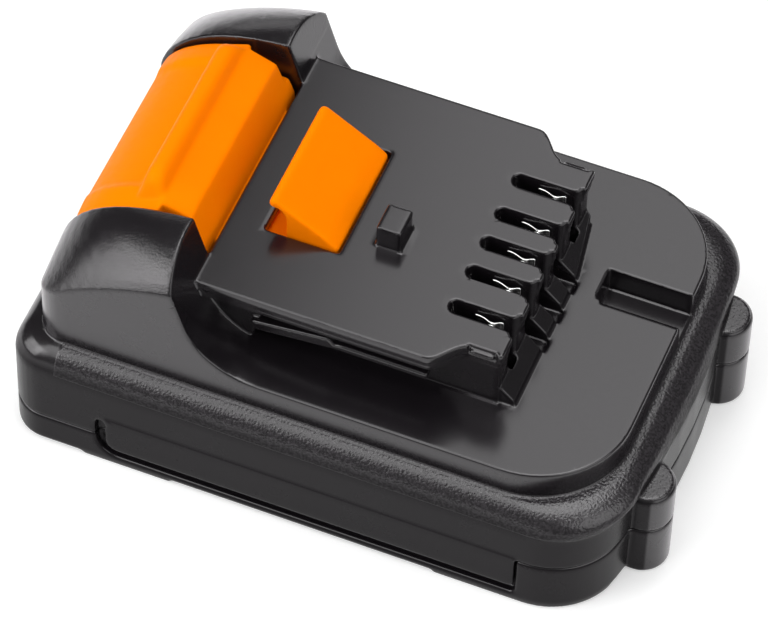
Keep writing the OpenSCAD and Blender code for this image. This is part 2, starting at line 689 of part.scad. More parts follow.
module release_latch() color("#ff8500") {
    difference() {
        button_body();
        across(-latch_hw + button_t, latch_hw - button_t) button_room();
        // the ends of the front facet stand back from the cheeks
        both_sides() translate([facet_x, latch_hw - 1.2, tower_z + 0.7]) cube([past, past, past]);
    }
    difference() {
        both_sides() translate([spring_x, spring_y, button_low]) cylinder(h = spring_high + 1 - button_low,
            r = pocket_r + 1.2);
        both_sides() translate([spring_x, spring_y, button_low - 1]) cylinder(h = spring_high + 1 - button_low,
            r = pocket_r);
    }
    translate([face_x - 0.6, -arm_w / 2, arm_low]) cube([tooth_front + 1 - face_x, arm_w, arm_t]);
    across(-tooth_w / 2, tooth_w / 2) tooth_profile();
}

// A coil spring as one tube swept along a helix
module coil_spring(z0, z1) {
    sides = 6;
    steps = round(coil_turns * 12);
    rise = z1 - z0 - wire_d;
    points = [for (k = [0:steps], j = [0:sides - 1])
        let (a = 360 * coil_turns * k / steps, b = 360 * j / sides, r = coil_d / 2 + wire_d / 2 * cos(b))
        [r * cos(a), r * sin(a), z0 + wire_d / 2 + rise * k / steps + wire_d / 2 * sin(b)]];
    walls = [for (k = [0:steps - 1], j = [0:sides - 1]) let (n = (j + 1) % sides)
        [k * sides + j, k * sides + n, (k + 1) * sides + n, (k + 1) * sides + j]];
    ends = [[for (j = [sides - 1:-1:0]) j], [for (j = [0:sides - 1]) steps * sides + j]];
    polyhedron(points, concat(walls, ends));
}

module latch_spring_left() color("#b9bcc0")
    translate([spring_x, spring_y, 0]) coil_spring(spring_low + 0.05, spring_high - 0.05);
module latch_spring_right() color("#b9bcc0")
    translate([spring_x, -spring_y, 0]) coil_spring(spring_low + 0.05, spring_high - 0.05);

// Places a cell standing on its negative end; a turned cell has its positive end at the rear
module at_cell(row, turned) translate([turned ? cell_x1 : cell_x0, row * cell_pitch, cell_z])
    rotate([0, turned ? -90 : 90, 0]) children();

// Cell can with a rounded base and the groove of its crimp
module cell_can() {
    r = cell_d / 2;
    can_h = cell_l - cap_h;
    rotate_extrude() polygon(concat([[0, 0]], arc(r - 1, 1, 1, 270, 360, 4), [[r, can_h - 4.6],
        [r - 0.7, can_h - 3.8], [r, can_h - 3]], arc(r - 0.8, can_h - 0.8, 0.8, 0, 90, 4), [[0, can_h]]));
}

ROWS = [[-1, false], [0, true], [1, false]];
cap_d = 0.44 * cell_d;
module cell_left() color("#3f6f8f") at_cell(1, false) cell_can();
module cell_middle() color("#3f6f8f") at_cell(0, true) cell_can();
module cell_right() color("#3f6f8f") at_cell(-1, false) cell_can();
module cell_caps() color("#c8cace") for (row = ROWS) at_cell(row[0], row[1])
    translate([0, 0, cell_l - cap_h]) cylinder(h = cap_h, d = cap_d);
module cell_rings() color("#d9d6cc") for (row = ROWS) at_cell(row[0], row[1])
    translate([0, 0, cell_l - cap_h]) difference() {
        cylinder(h = cap_h / 2, d = cell_d - 2.4);
        translate([0, 0, -1]) cylinder(h = 2 + cap_h, d = cap_d + 1);
    }

// Block with a bore for each cell
module cell_holder(x0, length) {
    rim = 0.6;
    bore = cell_d + 0.3;
    difference() {
        intersection() {
            union() {
                for (row = [-1:1]) translate([x0, row * cell_pitch, cell_z]) rotate([0, 90, 0])
                    cylinder(h = length, d = bore + 2 * rim);
                translate([x0, -cell_pitch, floor_z]) cube([length, 2 * cell_pitch, holder_top - floor_z]);
            }
            translate([x0 - 1, -past, floor_z + 0.1]) cube([length + 2, 2 * past, holder_top - floor_z - 0.1]);
        }
        for (row = [-1:1]) translate([x0 - 1, row * cell_pitch, cell_z]) rotate([0, 90, 0])
            cylinder(h = length + 2, d = bore);
    }
}

holder_l = 10;
module cell_holder_front() color("#4a4d52") {
    cell_holder(cell_x1 - holder_l - 1, holder_l);
    // pads under the circuit board
    both_sides() translate([cell_x1 - holder_l - 0.5, mix(inner_pitch, outer_pitch, 0.5) - 1, holder_top - 0.5])
        cube([4, 2, board_z - holder_top + 0.4]);
}
module cell_holder_rear() color("#4a4d52") {
    cell_holder(cell_x0 + 0.6, holder_l + 1);
    // pegs that centre the latch springs
    both_sides() translate([spring_x, spring_y, holder_top - 0.5]) cylinder(h = 5, d = coil_d - wire_d - 0.8);
}

// Welded strip: a plate over the ends of the cells from row a to row b, and a
// tail that runs over the holder to the circuit board's lower face at tail_x
module strip(x, inward, a, b, tail_y, tail_x) {
    pad = 8;
    tail_w = 3.2;
    outer = x - (inward > 0 ? strip_t : 0);
    translate([outer, a * cell_pitch - pad / 2, cell_z - pad / 2])
        cube([strip_t, (b - a) * cell_pitch + pad, pad]);
    translate([outer, tail_y - tail_w / 2, cell_z])
        cube([strip_t, tail_w, holder_top + 0.1 + strip_t - cell_z]);
    translate([outer, min(tail_y, (a + b) / 2 * cell_pitch) - tail_w / 2, cell_z - 1])
        cube([strip_t, abs(tail_y - (a + b) / 2 * cell_pitch) + tail_w, 4]);
    translate([min(outer, tail_x), tail_y - tail_w / 2, holder_top + 0.1])
        cube([abs(tail_x - outer) + strip_t, tail_w, strip_t]);
    translate([tail_x, tail_y - tail_w / 2, holder_top + 0.1])
        cube([strip_t, tail_w, board_z - holder_top - 0.1]);
}

tail_y = outer_pitch + 0.6;
module strip_negative() color("#c9ccd0") strip(cell_x0, 1, -1, -1, -tail_y, board_x0 + 1);
module strip_link_rear() color("#c9ccd0") strip(cell_x0, 1, 0, 1, tail_y, board_x0 + 1);
module strip_link_front() color("#c9ccd0") strip(cell_x1, -1, -1, 0, -tail_y, board_x1 - 0.6);
module strip_positive() color("#c9ccd0") strip(cell_x1, -1, 1, 1, tail_y, board_x1 - 0.6);

// Insulating sheet over the strips at one end of the cells
sheet_t = 0.35;
sheet_gap = 0.1;
module insulator(x) {
    over = 4.4;
    below = cell_d / 3;
    translate([x, -cell_pitch - over, cell_z - below])
        cube([sheet_t, 2 * (cell_pitch + over), holder_top - 2 - cell_z + below]);
}
module insulator_front() color("#e6e3da") insulator(cell_x1 + strip_t + sheet_gap);
module insulator_rear() color("#e6e3da") insulator(cell_x0 - strip_t - sheet_gap - sheet_t);

pin_x = plate_front - 4.6;
module circuit_board() color("#1f6b3a") difference() {
    translate([board_x0, -board_hw, board_z]) cube([board_x1 - board_x0, 2 * board_hw, board_t]);
    for (y = slot_ys) translate([pin_x, y, board_z - 1]) cylinder(h = board_t + 2, d = 1.3);
}

// Control chip, two power transistors and a shunt on the circuit board
module board_components() color("#202124") translate([carrier_x0, 0, board_top + 0.02]) {
    chip = 5;
    power_l = 6;
    translate([-1.3 - chip, -chip / 2, 0]) cube([chip, chip, 1]);
    for (y = [-9.5, 4.5]) translate([-0.8 - power_l, y, 0]) cube([power_l, 5, 1.5]);
    translate([board_x0 + 0.3 - carrier_x0, -1.6, 0]) cube([1.6, 3.2, 0.6]);
}

// Bead that feels the temperature of the middle cell
module thermistor() color("#30261f") translate([board_x0 + 6, 0, 0]) {
    low = cell_z + cell_d / 2 + 0.1;
    translate([0, 0, low]) cylinder(h = board_z - low - 0.05, d = 1.8);
}

// Black block on the circuit board with a slit for each contact's pin
carrier_h = 1.5;
carrier_top = board_top + 0.05 + carrier_h;
pin_l = 0.8;
pin_w = 0.6;
module contact_carrier() color("#1d1d1f") difference() {
    translate([carrier_x0, -board_hw, carrier_top - carrier_h])
        cube([board_x1 - carrier_x0, 2 * board_hw, carrier_h]);
    for (y = slot_ys) translate([pin_x - pin_l / 2 - 0.2, y - pin_w / 2 - 0.2, board_top - 1])
        cube([pin_l + 0.4, pin_w + 0.4, carrier_h + 3]);
}

// Contact clip: two leaves that close in to pinch the tool's blade, a base and a pin
module contact(y) {
    x0 = slot_x + 2.4;
    x1 = neck_front - 1.8;
    n = 16;
    half_gap = slot_w / 2 - 0.15 - leaf_t;
    pinch = 0.06;
    closed = 0.66;
    function slope(t) = t < closed ? 0.28 : 0.17;
    function leaf_y(t) = half_gap - (half_gap - pinch) * exp(-pow((t - closed) / slope(t), 2));
    inner = [for (i = [0:n]) [mix(x0, x1, i / n), leaf_y(i / n)]];
    outer = [for (i = [n:-1:0]) [mix(x0, x1, i / n), leaf_y(i / n) + leaf_t]];
    translate([0, y, carrier_top + 0.05]) {
        for (s = [0, 1]) mirror([0, s, 0]) translate([0, 0, 0.2])
            linear_extrude(leaf_top - carrier_top - 0.25) polygon(concat(inner, outer));
        translate([x0, -half_gap - leaf_t, 0]) cube([x1 - x0, 2 * (half_gap + leaf_t), 0.4]);
    }
    translate([pin_x - pin_l / 2, y - pin_w / 2, board_z - 0.6])
        cube([pin_l, pin_w, carrier_top - board_z + 0.8]);
}

module contact_negative() color("#d7d9dc") contact(slot_ys[0]);
module contact_tap_low() color("#d7d9dc") contact(slot_ys[1]);
module contact_sense() color("#d7d9dc") contact(slot_ys[2]);
module contact_tap_high() color("#d7d9dc") contact(slot_ys[3]);
module contact_positive() color("#d7d9dc") contact(slot_ys[4]);

lower_case();
upper_case();
release_latch();
latch_spring_left();
latch_spring_right();
case_screws();
cell_left();
cell_middle();
cell_right();
cell_caps();
cell_rings();
cell_holder_front();
cell_holder_rear();
strip_negative();
strip_link_front();
strip_link_rear();
strip_positive();
insulator_front();
insulator_rear();
circuit_board();
board_components();
thermistor();
contact_carrier();
contact_negative();
contact_tap_low();
contact_sense();
contact_tap_high();
contact_positive();
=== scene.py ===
# %% [markdown]
# A slide-on battery pack for a power tool
#
# The pack is a black moulded case with an orange release latch. Its construction comes from the packed
# frame: every piece is already there, at its real size and in its real place. This lesson gives it looks:
# moulded shells with soft edges, finishes with the grain of the real plastics and metals, and studio light.

# %% Load the frame
import json
import math

import bpy
import numpy as np
import openvdb
from mathutils import Matrix, Vector


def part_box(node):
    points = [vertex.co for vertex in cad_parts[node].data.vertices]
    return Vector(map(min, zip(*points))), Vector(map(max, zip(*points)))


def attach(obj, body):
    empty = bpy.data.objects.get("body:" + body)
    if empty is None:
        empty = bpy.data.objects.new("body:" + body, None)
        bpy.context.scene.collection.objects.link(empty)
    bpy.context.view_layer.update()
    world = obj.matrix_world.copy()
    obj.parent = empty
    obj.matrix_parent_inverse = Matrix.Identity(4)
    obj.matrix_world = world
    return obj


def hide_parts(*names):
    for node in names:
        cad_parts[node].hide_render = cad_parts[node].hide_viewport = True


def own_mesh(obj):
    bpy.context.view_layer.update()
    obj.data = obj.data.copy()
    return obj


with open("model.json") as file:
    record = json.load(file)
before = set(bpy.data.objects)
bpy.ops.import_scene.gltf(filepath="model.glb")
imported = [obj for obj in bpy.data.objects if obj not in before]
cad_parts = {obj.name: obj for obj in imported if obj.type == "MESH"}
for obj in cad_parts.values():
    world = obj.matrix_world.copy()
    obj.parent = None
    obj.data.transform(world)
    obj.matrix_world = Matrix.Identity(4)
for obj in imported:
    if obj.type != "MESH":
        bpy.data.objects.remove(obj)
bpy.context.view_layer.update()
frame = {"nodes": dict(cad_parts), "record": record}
scene = bpy.context.scene
nodes = frame["nodes"]
MM = 0.001

# %% [markdown]
# The camera
#
# A product photograph is usually taken with a long lens from above, so that the edges stay almost parallel.
# The view is given by where the camera stands round the pack, how high it stands and how far it is tilted
# about its own axis. Three unit vectors follow from these angles, and they are the columns of its matrix.

# %% Camera
VIEW_TURN = math.radians(20.475)
VIEW_HEIGHT = math.radians(52.041)
VIEW_ROLL = math.radians(1.917)
VIEW_PLACE = Vector((155.0, -421.3, 587.9)) * MM
LENS = 234.8
SENSOR_WIDTH = 36
NEAREST = 0.05

level = Vector((math.cos(VIEW_TURN), math.sin(VIEW_TURN), 0))
towards_camera = Vector((
    math.sin(VIEW_TURN) * math.cos(VIEW_HEIGHT),
    -math.cos(VIEW_TURN) * math.cos(VIEW_HEIGHT),
    math.sin(VIEW_HEIGHT),
))
steep = towards_camera.cross(level)
right = level * math.cos(VIEW_ROLL) + steep * math.sin(VIEW_ROLL)
up = towards_camera.cross(right)
turned = Matrix((right, up, towards_camera)).transposed().to_4x4()

camera = bpy.data.objects.new("camera", bpy.data.cameras.new("camera"))
camera.data.lens = LENS
camera.data.sensor_width = SENSOR_WIDTH
camera.data.clip_start = NEAREST
camera.matrix_world = Matrix.Translation(VIEW_PLACE) @ turned
scene.collection.objects.link(camera)
scene.camera = camera
scene.view_settings.view_transform = "Standard"
print("camera at", [round(v, 3) for v in camera.location])

# %% [markdown]
# Small helpers for node materials
#
# A material is a graph: textures give numbers between 0 and 1, and these choose between two colours, two
# roughnesses or two heights. Most of these helpers add one node and return its output, so that a finish
# reads as a few lines. The place on the piece is measured in metres in the piece's own space, so the grain
# has its real size and moves with the piece.

# %% Helpers for nodes and textures
def add(tree, kind, **settings):
    """A new node with some of its settings."""
    node = tree.nodes.new(kind)
    for name, value in settings.items():
        setattr(node, name, value)
    return node


def plug(tree, source, socket):
    """Sets a socket to a number or a colour, or links an output to it."""
    if isinstance(source, bpy.types.NodeSocket):
        tree.links.new(source, socket)
    else:
        socket.default_value = source


def place_on_piece(tree):
    """The place in metres, in the piece's own space."""
    return add(tree, "ShaderNodeTexCoord").outputs["Object"]


def noise(tree, place, grain, detail=2.0, roughness=0.5):
    """Noise between 0 and 1, with grain as the size of its spots in metres."""
    node = add(tree, "ShaderNodeTexNoise")
    plug(tree, place, node.inputs["Vector"])
    node.inputs["Scale"].default_value = 1 / grain
    node.inputs["Detail"].default_value = detail
    node.inputs["Roughness"].default_value = roughness
    return node.outputs["Fac"]


print("helpers for nodes and textures ready")

# %% Helpers for values and finishes
def ramp(tree, value, low, high, to_low=0.0, to_high=1.0):
    """Smooth step of a value from low to high."""
    node = add(tree, "ShaderNodeMapRange", interpolation_type="SMOOTHSTEP")
    for socket, source in zip(node.inputs, (value, low, high, to_low, to_high)):
        plug(tree, source, socket)
    return node.outputs["Result"]


def maths(tree, operation, a, b):
    """One calculation with two values."""
    node = add(tree, "ShaderNodeMath", operation=operation)
    plug(tree, a, node.inputs[0])
    plug(tree, b, node.inputs[1])
    return node.outputs[0]


def blend_colours(tree, amount, first, second):
    """A colour between two colours."""
    node = add(tree, "ShaderNodeMix", data_type="RGBA")
    plug(tree, amount, node.inputs["Factor"])
    plug(tree, first, node.inputs["A"])
    plug(tree, second, node.inputs["B"])
    return node.outputs["Result"]


def relief(tree, height, depth):
    """A normal that follows a height, where a height of 1 is the depth in metres."""
    node = add(tree, "ShaderNodeBump")
    node.inputs["Strength"].default_value = 1.0
    node.inputs["Distance"].default_value = depth
    plug(tree, height, node.inputs["Height"])
    return node.outputs["Normal"]


def new_finish(name, metallic=0.0, coat=0.0):
    """A new finish, its node tree and the sockets of its shader."""
    finish = bpy.data.materials.new(name)
    finish.use_nodes = True
    shader = finish.node_tree.nodes["Principled BSDF"]
    shader.inputs["Metallic"].default_value = metallic
    shader.inputs["Coat Weight"].default_value = coat
    return finish, finish.node_tree, shader.inputs


print("helpers for values and finishes ready")

# %% [markdown]
# Floor and light
#
# The pack lies on white paper. The paper is a diffuse surface, so it keeps the shadow, and it glows a little
# for the rays that come from the camera or from a shiny surface, so that it reads as white there without
# more light on the pack. Black plastic shows hardly any colour of its own: what is seen is the room in its
# gloss. So the room itself is dim, and soft lamps shape the pack, each placed where one surface mirrors it:
# the back lamp lies on the flat deck and fades out along the rail plate, the front and top lamps lie on the
# shoulder and its corner, and the left lamp lies on the lower half of the crowns. The right lamp lifts the
# front faces of the latch, and the rim lamp the far crown.

# %% Floor
FLOOR_SIZE = 2.4
PAPER = (0.76, 0.76, 0.76, 1)
PAPER_GLOW = 0.34

paper, tree, sockets = new_finish("white_paper")
sockets["Base Color"].default_value = PAPER
sockets["Roughness"].default_value = 0.9
sockets["Specular IOR Level"].default_value = 0.0
rays = add(tree, "ShaderNodeLightPath").outputs
seen = maths(tree, "MAXIMUM", rays["Is Camera Ray"], maths(
    tree, "MAXIMUM", rays["Is Glossy Ray"], rays["Is Transmission Ray"]))
sockets["Emission Color"].default_value = (1, 1, 1, 1)
plug(tree, maths(tree, "MULTIPLY", seen, PAPER_GLOW), sockets["Emission Strength"])

bpy.ops.mesh.primitive_plane_add(size=FLOOR_SIZE)
floor = bpy.context.object
floor.name = "floor"
floor.data.materials.append(paper)
print("floor side in m:", FLOOR_SIZE)

# %% World and lamps
ROOM_LOW = (0.10, 0.10, 0.10, 1)
ROOM_HIGH = (0.32, 0.32, 0.32, 1)
BRIGHT_SIDE = (0.4, -0.7, 0.6)
BRIGHT_FADE = (-0.3, 0.9)

world = bpy.data.worlds.new("room")
scene.world = world
world.use_nodes = True
tree = world.node_tree
towards_bright = add(tree, "ShaderNodeVectorMath", operation="DOT_PRODUCT")
plug(tree, add(tree, "ShaderNodeTexCoord").outputs["Generated"], towards_bright.inputs[0])
towards_bright.inputs[1].default_value = BRIGHT_SIDE
brightness = ramp(tree, towards_bright.outputs["Value"], *BRIGHT_FADE)
plug(tree, blend_colours(tree, brightness, ROOM_LOW, ROOM_HIGH), tree.nodes["Background"].inputs["Color"])


def soft_lamp(name, place, size, power):
    """A rectangular lamp that faces the pack, with place and size in metres and power in watts."""
    lamp = bpy.data.lights.new(name, "AREA")
    lamp.shape = "RECTANGLE"
    lamp.size, lamp.size_y = size
    lamp.energy = power
    piece = bpy.data.objects.new(name, lamp)
    place = Vector(place)
    piece.matrix_world = Matrix.Translation(place) @ place.to_track_quat("Z", "Y").to_matrix().to_4x4()
    scene.collection.objects.link(piece)
    return piece


lamps = [
    soft_lamp("front_lamp", (-0.231, -0.309, 0.526), (0.35, 0.78), 1.75),
    soft_lamp("top_lamp", (0.06, 0.05, 0.62), (0.34, 0.34), 1.05),
    soft_lamp("left_lamp", (-0.464, -0.290, 0.291), (0.44, 0.38), 1.85),
    soft_lamp("right_lamp", (0.465, -0.155, 0.38), (0.50, 0.50), 1.3),
    soft_lamp("back_lamp", (-0.015, 0.33, 0.60), (0.30, 0.48), 0.81),
    soft_lamp("rim_lamp", (-0.30, 0.45, 0.21), (0.25, 0.20), 0.14),
]
print("lamps:", [lamp.name for lamp in lamps])

# %% [markdown]
# Moulded shells
#
# No edge of a moulding is sharp: the tool that made it was cut with round cutters. Bevelling a mesh full of
# cuts and slots edge by edge often tears, so the shells are rounded as a whole. The solid is turned into a
# grid that holds the distance to its surface, and the grid is blurred a little. A flat face has a distance
# that changes evenly, so the blur leaves it flat and in its place, while edges become round. Two blurs are
# made, a wide and a narrow one, and the larger distance of the two is kept: outer edges follow the wide
# blur, and inner corners the narrow one, as in a tool where the outer edges were left by a round cutter.

# %% Blur of a grid
def blurred(grid, softness):
    """The grid after a soft blur, with softness in cells."""
    reach = math.ceil(3 * softness)
    weights = np.exp(-0.5 * (np.arange(-reach, reach + 1) / softness) ** 2)
    weights = (weights / weights.sum()).astype(np.float32)
    for axis in range(3):
        lines = np.moveaxis(grid, axis, 0)
        padded = np.pad(lines, ((reach, reach), (0, 0), (0, 0)), mode="edge")
        lines = sum(weight * padded[k:k + len(lines)] for k, weight in enumerate(weights))
        grid = np.moveaxis(lines, 0, axis)
    return np.ascontiguousarray(grid)


crease = np.abs(np.arange(-3, 4, dtype=np.float32)).reshape(-1, 1, 1)
print("a crease:", crease.ravel(), "and its blur:", blurred(crease, 1.0).ravel().round(2))

# %% [markdown]
# From a piece to a grid
#
# Equal points of the solid's triangles are joined first, so that its surface is closed. The distances are
# kept only in a band of a few cells on both sides of the surface, which is all that a small blur needs.

# %% Distance grid of a piece
BAND = 6


def cad_triangles(node):
    """Points and triangles of a piece of the frame, with its points joined."""
    mesh = nodes[node].data
    mesh.calc_loop_triangles()
    points = np.array([v.co for v in mesh.vertices])
    points, joined = np.unique(points.round(7), axis=0, return_inverse=True)
    triangles = joined.ravel()[np.array([t.vertices for t in mesh.loop_triangles])]
    return points.astype(np.float32), triangles.astype(np.uint32)


def distance_grid(node, cell):
    """Distances to the surface of a piece in a block of cells, and the place of the block's first cell."""
    points, triangles = cad_triangles(node)
    scale = openvdb.createLinearTransform(voxelSize=cell)
    distance = openvdb.FloatGrid.createLevelSetFromPolygons(
        points, triangles=triangles, transform=scale, halfWidth=BAND)
    low, high = (np.array(corner) for corner in distance.evalActiveVoxelBoundingBox())
    grid = np.empty(tuple(high - low + 1), np.float32)
    distance.copyToArray(grid, ijk=tuple(int(v) for v in low))
    return grid, low


print("triangles of the latch solid:", len(cad_triangles("release_latch")[1]))

# %% [markdown]
# From a grid back to a mesh
#
# The surface is where the distance is zero. It comes back as very many small triangles, most of them on flat
# faces, so the mesh is thinned to a set number of them.

# %% Surface of a grid
FLAT_MERGE = 0.01


def surface_of(grid, low, cell):
    """Points and triangles of the surface where the distance is zero."""
    surface = openvdb.FloatGrid(BAND * cell)
    surface.copyFromArray(grid, ijk=tuple(int(v) for v in low))
    surface.transform = openvdb.createLinearTransform(voxelSize=cell)
    points, triangles, quads = surface.convertToPolygons(isovalue=0, adaptivity=FLAT_MERGE)
    return points, np.concatenate([triangles, quads[:, [0, 1, 2]], quads[:, [0, 2, 3]]])


def thinned(name, points, faces, limit):
    """A mesh of at most a given number of triangles, with the flat faces thinned most."""
    mesh = bpy.data.meshes.new(name)
    mesh.from_pydata(points, [], faces)
    if len(faces) <= limit:
        return mesh
    rough = bpy.data.objects.new(name, mesh)
    scene.collection.objects.link(rough)
    rough.modifiers.new("thin", "DECIMATE").ratio = limit / len(faces)
    shaped = rough.evaluated_get(bpy.context.evaluated_depsgraph_get())
    thin = bpy.data.meshes.new_from_object(shaped)
    bpy.data.objects.remove(rough)
    bpy.data.meshes.remove(mesh)
    thin.name = name
    return thin


print("merging of flat faces, from 0 to 1:", FLAT_MERGE)

# %% [markdown]
# Normals from the grid
#
# Long thin triangles shade badly with averaged normals. The slope of the grid is the true normal at every
# point, so each corner of a triangle takes it. Only where a wide flat face meets a rounded edge would it
# tilt the whole face, and there the corner takes the normal of the face. A face is wide when it is larger
# than a square of one and a half cells.

# %% Corner normals
WIDE_FACE = 1.5
WIDE_TILT = math.radians(10)


def grid_value(grid, at):
    """The grid between its cells, at places given in cells."""
    at = np.clip(at, 0, np.array(grid.shape) - 1.001)
    cell = at.astype(int)
    part = at - cell
    total = np.zeros(len(at))
    for corner in np.ndindex(2, 2, 2):
        share = np.prod(np.where(corner, part, 1 - part), axis=1)
        total += share * grid[tuple((cell + corner).T)]
    return total


def read_back(mesh, kind, name, width=1):
    """One property of a row of mesh elements, as an array."""
    row = getattr(mesh, kind)
    values = np.empty(len(row) * width)
    row.foreach_get(name, values)
    return values.reshape(-1, width)


def corner_normals(mesh, grid, low, cell):
    """The normal at each triangle corner."""
    at = read_back(mesh, "vertices", "co", 3) / cell - low
    halves = np.eye(3) / 2
    normals = np.stack([grid_value(grid, at + half) - grid_value(grid, at - half) for half in halves], 1)
    normals /= np.linalg.norm(normals, axis=1)[:, None]
    normals = normals[read_back(mesh, "loops", "vertex_index").astype(int).ravel()]
    flat = np.repeat(read_back(mesh, "polygons", "normal", 3), 3, axis=0)
    wide = np.repeat(read_back(mesh, "polygons", "area").ravel() > (WIDE_FACE * cell) ** 2, 3)
    tilted = (normals * flat).sum(1) < math.cos(WIDE_TILT)
    normals[wide & tilted] = flat[wide & tilted]
    return normals


print("on a wide face a normal may tilt by", round(math.degrees(WIDE_TILT)), "degrees")

# %% [markdown]
# The case, the latch and the clips
#
# The edges of the case and the latch are softened over a few tenths of a millimetre, the latch the most,
# since a thumb presses it. The contact clips are bent from sheet metal: their rounded edges catch the light
# in the dark slots, and a finer grid keeps their thin blades.

# %% Shells
def moulded(name, node, body, cell, outer, inner, limit):
    """A shell, rounded at its outer edges and inner corners, that stands for a piece of the frame."""
    grid, low = distance_grid(node, cell)
    grid = np.maximum(blurred(grid, outer / cell), blurred(grid, inner / cell))
    points, faces = surface_of(grid, low, cell)
    mesh = thinned(name, points, faces, limit)
    mesh.shade_smooth()
    mesh.normals_split_custom_set(corner_normals(mesh, grid, low, cell).tolist())

    piece = bpy.data.objects.new(name, mesh)
    scene.collection.objects.link(piece)
    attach(piece, body)
    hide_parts(node)
    print(name, "has", len(mesh.polygons), "of", len(faces), "triangles")
    return piece


case_top = moulded(
    "case_top", "upper_case", "housing",
    cell=0.18 * MM, outer=0.19 * MM, inner=0.12 * MM, limit=190000)
case_base = moulded(
    "case_base", "lower_case", "housing",
    cell=0.25 * MM, outer=0.25 * MM, inner=0.15 * MM, limit=90000)
latch = moulded(
    "latch", "release_latch", "latch",
    cell=0.2 * MM, outer=0.28 * MM, inner=0.2 * MM, limit=90000)
clips = [
    moulded(
        "clip_" + terminal, "contact_" + terminal, "housing",
        cell=0.08 * MM, outer=0.12 * MM, inner=0.06 * MM, limit=8000)
    for terminal in ("negative", "tap_low", "sense", "tap_high", "positive")]

# %% [markdown]
# The black plastic of the case
#
# The case is black plastic with four surfaces from the same tool. The deck and the walls are satin, and the
# top of the rail plate is polished a little more. The shoulder is spark eroded, which leaves a coarse grain
# of a little under half a millimetre, and the crowns beside the latch have a finer and shallower one. Masks
# made from the place on the piece say where each surface begins, and most lines between them are sharp.

# %% Surfaces of the case
GRAIN_LOW, GRAIN_HIGH = 16.7 * MM, 20.6 * MM
GRAIN_START = -40.5 * MM
HUMP_FRONT = -22.9 * MM
LINE = 0.1 * MM
CROWN_FADE = (27.5 * MM, 28.5 * MM)
CROWN_TILT = (0.15, 0.25)
PLATE_FADE = (36.0 * MM, 36.3 * MM)

case_black, tree, sockets = new_finish("case_black")
place = place_on_piece(tree)
axes = add(tree, "ShaderNodeSeparateXYZ")
plug(tree, place, axes.inputs[0])
x, z = axes.outputs["X"], axes.outputs["Z"]
facing = add(tree, "ShaderNodeSeparateXYZ")
plug(tree, add(tree, "ShaderNodeNewGeometry").outputs["Normal"], facing.inputs[0])
upward = facing.outputs["Z"]


def all_of(*masks):
    """A mask that is set where every one of the masks is set."""
    total = masks[0]
    for mask in masks[1:]:
        total = maths(tree, "MULTIPLY", total, mask)
    return total


shoulder = all_of(
    ramp(tree, z, GRAIN_LOW - LINE, GRAIN_LOW + LINE),
    ramp(tree, z, GRAIN_HIGH - LINE, GRAIN_HIGH + LINE, 1.0, 0.0),
    ramp(tree, x, GRAIN_START - LINE, GRAIN_START + LINE))
crown = all_of(
    ramp(tree, z, *CROWN_FADE),
    ramp(tree, x, HUMP_FRONT - LINE, HUMP_FRONT + LINE, 1.0, 0.0),
    ramp(tree, upward, *CROWN_TILT))
plate = all_of(ramp(tree, z, *PLATE_FADE), ramp(tree, x, HUMP_FRONT - LINE, HUMP_FRONT + LINE))
print("grain from", round(GRAIN_LOW / MM, 1), "to", round(GRAIN_HIGH / MM, 1), "mm high")

# %% [markdown]
# Grain and gloss of the case
#
# The grain is relief: a noise of its real size gives the height, and each surface takes its own share of it.
# The upper part of the case has a clear gloss on top, which mirrors the lamps. It is full on the faces that
# look up, less on the steep walls, and fades out low on the shoulder, below which the walls stay dull. The
# front bosses have it too.

# %% Grain of the case
COARSE_GRAIN = 0.38 * MM
FINE_GRAIN = 0.28 * MM
GRAIN_DEPTH = 0.065 * MM
GRAIN_STEP = 0.3
CROWN_SHARE = 0.65
SATIN_SHARE = 0.02

coarse = noise(tree, place, COARSE_GRAIN, detail=1.0)
fine = noise(tree, place, FINE_GRAIN, roughness=0.6)
shoulder_height = maths(tree, "MULTIPLY", shoulder, maths(tree, "ADD", coarse, GRAIN_STEP))
crown_height = maths(tree, "MULTIPLY", maths(tree, "MULTIPLY", crown, CROWN_SHARE), fine)
satin_height = maths(tree, "MULTIPLY", fine, SATIN_SHARE)
height = maths(tree, "ADD", satin_height, maths(tree, "ADD", shoulder_height, crown_height))
surface_normal = relief(tree, height, GRAIN_DEPTH)
plug(tree, surface_normal, sockets["Normal"])
plug(tree, surface_normal, sockets["Coat Normal"])
print("grain depth in mm:", round(GRAIN_DEPTH / MM, 3))

# %% Gloss of the case
CASE_GLOSS = (1.0, 0.94, 1.0, 1)
GLOSS_FADE = (17.2 * MM, 19.2 * MM)
WALL_GLOSS = 0.75
TOP_TILT = (0.5, 0.9)
BOSS_FADE = (45.9 * MM, 46.4 * MM)
BOSS_GLOSS = 0.7

sockets["Specular Tint"].default_value = CASE_GLOSS
sockets["Specular IOR Level"].default_value = 0.11
sockets["Coat IOR"].default_value = 1.6
sockets["Coat Roughness"].default_value = 0.2
sockets["Coat Tint"].default_value = CASE_GLOSS
walls = ramp(tree, z, *GLOSS_FADE, 0.0, WALL_GLOSS)
upper = maths(tree, "MAXIMUM", walls, ramp(tree, upward, *TOP_TILT))
gloss = maths(tree, "MAXIMUM", upper, ramp(tree, x, *BOSS_FADE, 0.0, BOSS_GLOSS))
plug(tree, gloss, sockets["Coat Weight"])
print("gloss on walls and bosses:", WALL_GLOSS, BOSS_GLOSS)
